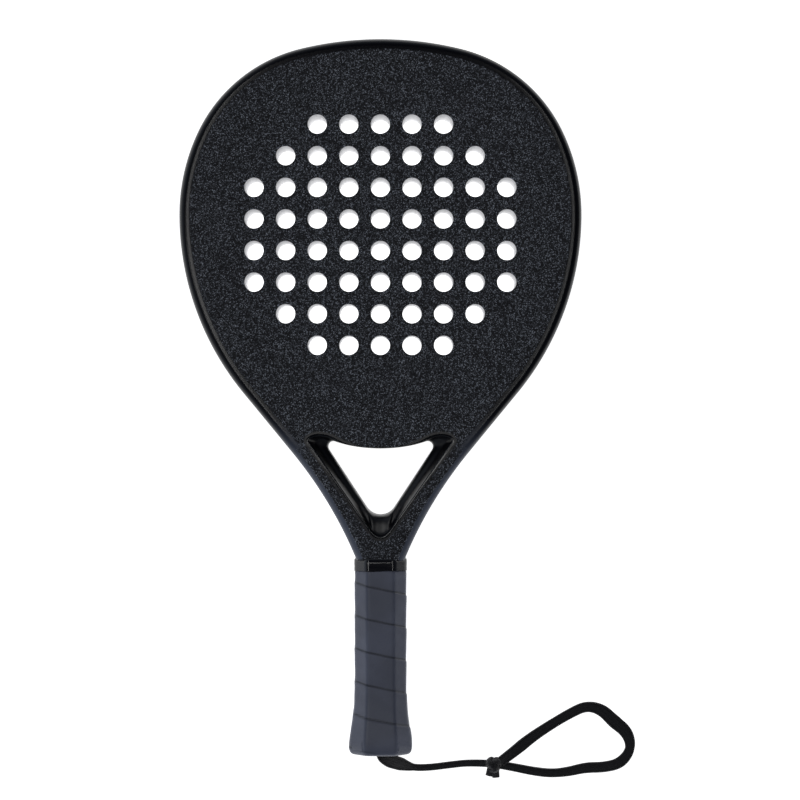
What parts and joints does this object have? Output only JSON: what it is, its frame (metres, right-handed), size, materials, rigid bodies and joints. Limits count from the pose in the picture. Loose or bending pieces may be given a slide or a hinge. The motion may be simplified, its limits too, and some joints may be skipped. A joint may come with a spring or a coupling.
{
  "type": "padel racket",
  "caption": "Drop-shaped padel racket lying flat, with a perforated solid head, an open throat, a wrapped octagonal handle with a flared butt, and a flat wrist cord laid beside it.",
  "frame": {"origin": "mid length of the racket, on its axis of symmetry, on the plane that the rear face rests on", "axes": "+Y along the handle towards the crown of the head, +X across the face, +Z out of the front face"},
  "size_m": [0.2923, 0.4737, 0.038],
  "materials": {
    "frame_lacquer": "satin clear lacquer over dark composite",
    "face_laminate": "matt sand-textured paint with pale grains",
    "core_foam": "matt white foam",
    "moulding_foam": "matt foam",
    "handle_plastic": "matt moulded",
    "staple_steel": "plain wire",
    "grip_wrap": "matt cushioned wrap",
    "finishing_tape": "glossy stretch tape",
    "cord_braid": "flat braided polyester"
  },
  "bodies": {
    "root": {"frame_hoop": "frame_lacquer", "frame_foam": "moulding_foam", "throat_bridge": "frame_lacquer", "bridge_foam": "moulding_foam", "foam_core": "core_foam", "front_face": "face_laminate", "rear_face": "face_laminate", "handle_foam": "moulding_foam", "handle_shell_front": "handle_plastic", "handle_shell_rear": "handle_plastic", "butt_cap": "handle_plastic", "butt_cap_staples": "staple_steel", "base_grip": "grip_wrap", "grip_finishing_tape": "finishing_tape", "cord_anchor_knot": "cord_braid", "wrist_cord_leg": "cord_braid", "wrist_cord_loop": "cord_braid", "wrist_cord_knot": "cord_braid"}
  },
  "joints": []
}
